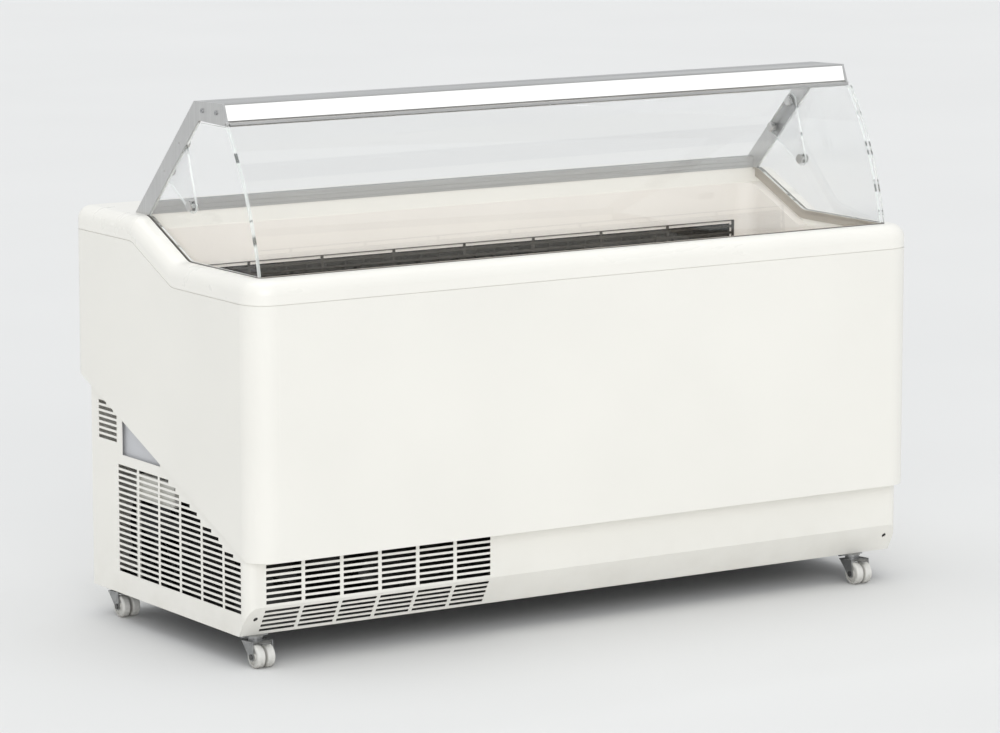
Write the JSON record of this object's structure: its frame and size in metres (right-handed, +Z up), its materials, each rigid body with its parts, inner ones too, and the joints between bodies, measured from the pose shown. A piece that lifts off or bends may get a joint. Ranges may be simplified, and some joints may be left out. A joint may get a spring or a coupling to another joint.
{
  "type": "ice cream scooping cabinet",
  "caption": "Insulated ice cream scooping cabinet: white casing with a cooled well, glazed canopy with lamp, rear serving side, machine base with grilles, twin-wheel casters.",
  "frame": {"origin": "on the floor, under the middle of the cabinet's box", "axes": "+X along the length to the customer's right, +Y towards the server's side, +Z up"},
  "size_m": [1.73, 0.8, 1.18],
  "materials": {
    "body_paint": "satin",
    "trim_moulding": "satin",
    "liner_cream": "satin",
    "insulation": "matte",
    "strip_grey": "matte",
    "grille_dark": "matte",
    "stainless": "satin",
    "fins": "satin",
    "machine_black": "gloss",
    "mount_rubber": "matte",
    "copper": "satin",
    "shroud_black": "matte",
    "terminal_white": "satin",
    "motor": "satin",
    "fan_black": "matte",
    "fascia": "matte",
    "key_black": "satin",
    "tray_black": "satin",
    "recess_grey": "satin",
    "anodised": "satin",
    "opal": "satin",
    "led_board": "matte",
    "clear_glass": "gloss",
    "clear_acrylic": "gloss",
    "chromed": "polished",
    "screw_zinc": "satin",
    "caster_steel": "satin",
    "wheel_grey": "matte"
  },
  "bodies": {
    "cabinet": {"outer_shell": "body_paint", "base_front_panel": "body_paint", "base_left_panel": "body_paint", "base_right_panel": "body_paint", "base_rear_panel": "body_paint", "top_trim": "trim_moulding", "well_liner": "liner_cream", "insulation_foam": "insulation", "rim_strip": "strip_grey", "air_grille": "grille_dark", "pan_rails": "stainless", "evaporator": "fins", "condenser": "fins", "compressor": "machine_black", "compressor_mounts": "mount_rubber", "refrigerant_lines": "copper", "fan_shroud": "shroud_black", "terminal_box": "terminal_white", "fan_motor": "motor", "control_fascia": "fascia", "thermostat": "fascia", "cord_gland": "key_black", "base_tray": "tray_black", "recess_plate": "recess_grey", "left_post": "anodised", "right_post": "anodised", "canopy_profile": "anodised", "rear_rail": "anodised", "lamp_diffuser": "opal", "led_strip": "led_board", "left_end_glass": "clear_glass", "right_end_glass": "clear_glass", "glass_gussets": "clear_acrylic", "glass_fixings": "chromed", "cover_screws": "screw_zinc", "caster_plates": "caster_steel"},
    "front_pane": {"front_glass": "clear_glass", "front_glass_hinge": "anodised"},
    "fan": {"fan_blade": "fan_black"},
    "thermostat_dial": {"thermostat_knob": "key_black"},
    "power_key": {"power_switch": "key_black"},
    "light_key": {"light_switch": "key_black"},
    "caster_front_left": {"caster_fork_front_left": "caster_steel", "caster_axle_front_left": "caster_steel"},
    "wheel_front_left_a": {"caster_wheel_front_left_a": "wheel_grey"},
    "wheel_front_left_b": {"caster_wheel_front_left_b": "wheel_grey"},
    "brake_front_left": {"brake_lever_front_left": "caster_steel"},
    "caster_front_right": {"caster_fork_front_right": "caster_steel", "caster_axle_front_right": "caster_steel"},
    "wheel_front_right_a": {"caster_wheel_front_right_a": "wheel_grey"},
    "wheel_front_right_b": {"caster_wheel_front_right_b": "wheel_grey"},
    "brake_front_right": {"brake_lever_front_right": "caster_steel"},
    "caster_rear_left": {"caster_fork_rear_left": "caster_steel", "caster_axle_rear_left": "caster_steel"},
    "wheel_rear_left_a": {"caster_wheel_rear_left_a": "wheel_grey"},
    "wheel_rear_left_b": {"caster_wheel_rear_left_b": "wheel_grey"},
    "caster_rear_right": {"caster_fork_rear_right": "caster_steel", "caster_axle_rear_right": "caster_steel"},
    "wheel_rear_right_a": {"caster_wheel_rear_right_a": "wheel_grey"},
    "wheel_rear_right_b": {"caster_wheel_rear_right_b": "wheel_grey"}
  },
  "joints": [
    {"name": "front_glass_tilt", "type": "hinge", "parent": "cabinet", "child": "front_pane", "pos_m": [0, -0.2035, 1.1375], "axis": [-1, 0, 0], "range_deg": [0, 70]},
    {"name": "fan_spin", "type": "hinge", "parent": "cabinet", "child": "fan", "pos_m": [-0.8215, 0.085, 0.215], "axis": [1, 0, 0], "continuous": true},
    {"name": "thermostat_turn", "type": "hinge", "parent": "cabinet", "child": "thermostat_dial", "pos_m": [-0.56, 0.39, 0.66], "axis": [0, -1, 0], "range_deg": [0, 270]},
    {"name": "power_rock", "type": "hinge", "parent": "cabinet", "child": "power_key", "pos_m": [-0.688, 0.384, 0.66], "axis": [-1, 0, 0], "range_deg": [0, 14]},
    {"name": "light_rock", "type": "hinge", "parent": "cabinet", "child": "light_key", "pos_m": [-0.652, 0.384, 0.66], "axis": [-1, 0, 0], "range_deg": [0, 14]},
    {"name": "swivel_front_left", "type": "hinge", "parent": "cabinet", "child": "caster_front_left", "pos_m": [-0.822, -0.321, 0.05], "axis": [0, 0, 1], "continuous": true},
    {"name": "roll_front_left_a", "type": "hinge", "parent": "caster_front_left", "child": "wheel_front_left_a", "pos_m": [-0.822, -0.347, 0.025], "axis": [1, 0, 0], "continuous": true},
    {"name": "roll_front_left_b", "type": "hinge", "parent": "caster_front_left", "child": "wheel_front_left_b", "pos_m": [-0.822, -0.347, 0.025], "axis": [1, 0, 0], "continuous": true},
    {"name": "brake_press_front_left", "type": "hinge", "parent": "caster_front_left", "child": "brake_front_left", "pos_m": [-0.822, -0.348, 0.0545], "axis": [1, 0, 0], "range_deg": [0, 15]},
    {"name": "swivel_front_right", "type": "hinge", "parent": "cabinet", "child": "caster_front_right", "pos_m": [0.757, -0.321, 0.05], "axis": [0, 0, 1], "continuous": true},
    {"name": "roll_front_right_a", "type": "hinge", "parent": "caster_front_right", "child": "wheel_front_right_a", "pos_m": [0.757, -0.347, 0.025], "axis": [1, 0, 0], "continuous": true},
    {"name": "roll_front_right_b", "type": "hinge", "parent": "caster_front_right", "child": "wheel_front_right_b", "pos_m": [0.757, -0.347, 0.025], "axis": [1, 0, 0], "continuous": true},
    {"name": "brake_press_front_right", "type": "hinge", "parent": "caster_front_right", "child": "brake_front_right", "pos_m": [0.757, -0.348, 0.0545], "axis": [1, 0, 0], "range_deg": [0, 15]},
    {"name": "swivel_rear_left", "type": "hinge", "parent": "cabinet", "child": "caster_rear_left", "pos_m": [-0.822, 0.278, 0.05], "axis": [0, 0, 1], "continuous": true},
    {"name": "roll_rear_left_a", "type": "hinge", "parent": "caster_rear_left", "child": "wheel_rear_left_a", "pos_m": [-0.822, 0.252, 0.025], "axis": [1, 0, 0], "continuous": true},
    {"name": "roll_rear_left_b", "type": "hinge", "parent": "caster_rear_left", "child": "wheel_rear_left_b", "pos_m": [-0.822, 0.252, 0.025], "axis": [1, 0, 0], "continuous": true},
    {"name": "swivel_rear_right", "type": "hinge", "parent": "cabinet", "child": "caster_rear_right", "pos_m": [0.757, 0.278, 0.05], "axis": [0, 0, 1], "continuous": true},
    {"name": "roll_rear_right_a", "type": "hinge", "parent": "caster_rear_right", "child": "wheel_rear_right_a", "pos_m": [0.757, 0.252, 0.025], "axis": [1, 0, 0], "continuous": true},
    {"name": "roll_rear_right_b", "type": "hinge", "parent": "caster_rear_right", "child": "wheel_rear_right_b", "pos_m": [0.757, 0.252, 0.025], "axis": [1, 0, 0], "continuous": true}
  ]
}
